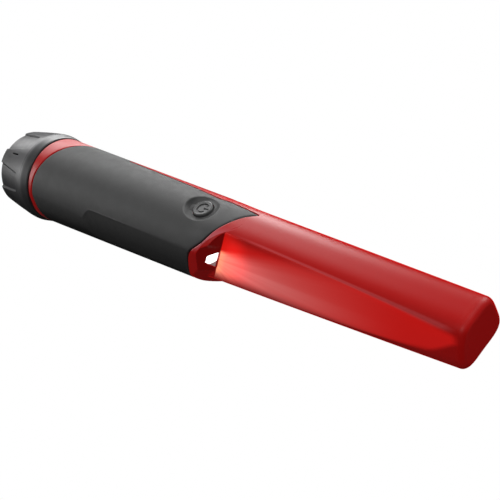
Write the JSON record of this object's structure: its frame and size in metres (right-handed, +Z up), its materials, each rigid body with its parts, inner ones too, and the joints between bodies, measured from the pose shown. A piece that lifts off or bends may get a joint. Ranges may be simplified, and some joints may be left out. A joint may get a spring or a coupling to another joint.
{
  "type": "pinpointer probe",
  "caption": "Hand-held pinpointer probe with a rubber grip, screw cap over the battery, side lamp, push button and a coil in its tapered shank.",
  "frame": {"origin": "the centre of the end cap's flat rear face, on the long axis", "axes": "+X along the long axis towards the tip, +Z up through the power button, -Y the lamp side"},
  "size_m": [0.2408, 0.0406, 0.0406],
  "materials": {
    "housing_red": "satin moulded, deep red",
    "grip_rubber": "matt moulded rubber",
    "cap_plastic": "satin",
    "button_rubber": "matt",
    "seal_rubber": "matt",
    "clear_window": "polished clear",
    "emitter_resin": "clear resin",
    "tray_plastic": "moulded",
    "chip_plastic": "moulded",
    "board_laminate": "solder mask",
    "capacitor_sleeve": "shrink sleeve",
    "bright_steel": "bright",
    "contact_brass": "bright",
    "enamelled_copper": "enamelled winding wire",
    "ferrite_ceramic": "ground ceramic",
    "foam_pad": "closed-cell foam",
    "battery_wrap": "printed wrap left plain"
  },
  "bodies": {
    "housing": {"probe_housing": "housing_red", "grip_sleeve": "grip_rubber", "neck_seal": "seal_rubber", "battery_case": "battery_wrap", "battery_plus_stud": "bright_steel", "battery_minus_stud": "bright_steel", "contact_plate": "tray_plastic", "plus_contact": "contact_brass", "minus_contact": "contact_brass", "main_board": "board_laminate", "board_tray": "tray_plastic", "board_screw_1": "bright_steel", "board_screw_2": "bright_steel", "board_screw_3": "bright_steel", "controller_chip": "chip_plastic", "smoothing_capacitor": "capacitor_sleeve", "buzzer": "chip_plastic", "switch_body": "chip_plastic", "motor_can": "bright_steel", "motor_clip": "tray_plastic", "light_window": "clear_window", "light_emitter": "emitter_resin", "light_lead_1": "bright_steel", "light_lead_2": "bright_steel", "ferrite_rod": "ferrite_ceramic", "coil_former": "tray_plastic", "search_coil": "enamelled_copper", "tip_pad": "foam_pad", "coil_lead_1": "enamelled_copper", "coil_lead_2": "enamelled_copper"},
    "cap_slide": {"pressure_plate": "tray_plastic", "battery_pad": "foam_pad"},
    "cap": {"end_cap": "cap_plastic"},
    "button": {"power_button": "button_rubber"},
    "plunger": {"switch_plunger": "chip_plastic"},
    "rotor": {"motor_shaft": "bright_steel", "motor_weight": "contact_brass"}
  },
  "joints": [
    {"name": "cap_travel", "type": "slide", "parent": "housing", "child": "cap_slide", "axis": [-1, 0, 0], "range_m": [0, 0.0038]},
    {"name": "cap_turn", "type": "hinge", "parent": "cap_slide", "child": "cap", "pos_m": [0, 0, 0], "axis": [-1, 0, 0], "range_deg": [0, 450]},
    {"name": "button_press", "type": "slide", "parent": "housing", "child": "button", "axis": [0, 0, -1], "range_m": [0, 0.0006]},
    {"name": "plunger_press", "type": "slide", "parent": "housing", "child": "plunger", "axis": [0, 0, -1], "range_m": [0, 0.0006]},
    {"name": "motor_spin", "type": "hinge", "parent": "housing", "child": "rotor", "pos_m": [0.0898, 0, -0.0094], "axis": [1, 0, 0], "continuous": true}
  ],
  "couplings": [
    {"joint": "cap_travel", "follows": "cap_turn", "m_per_rad": 0.00047746},
    {"joint": "plunger_press", "follows": "button_press", "ratio": 1}
  ]
}
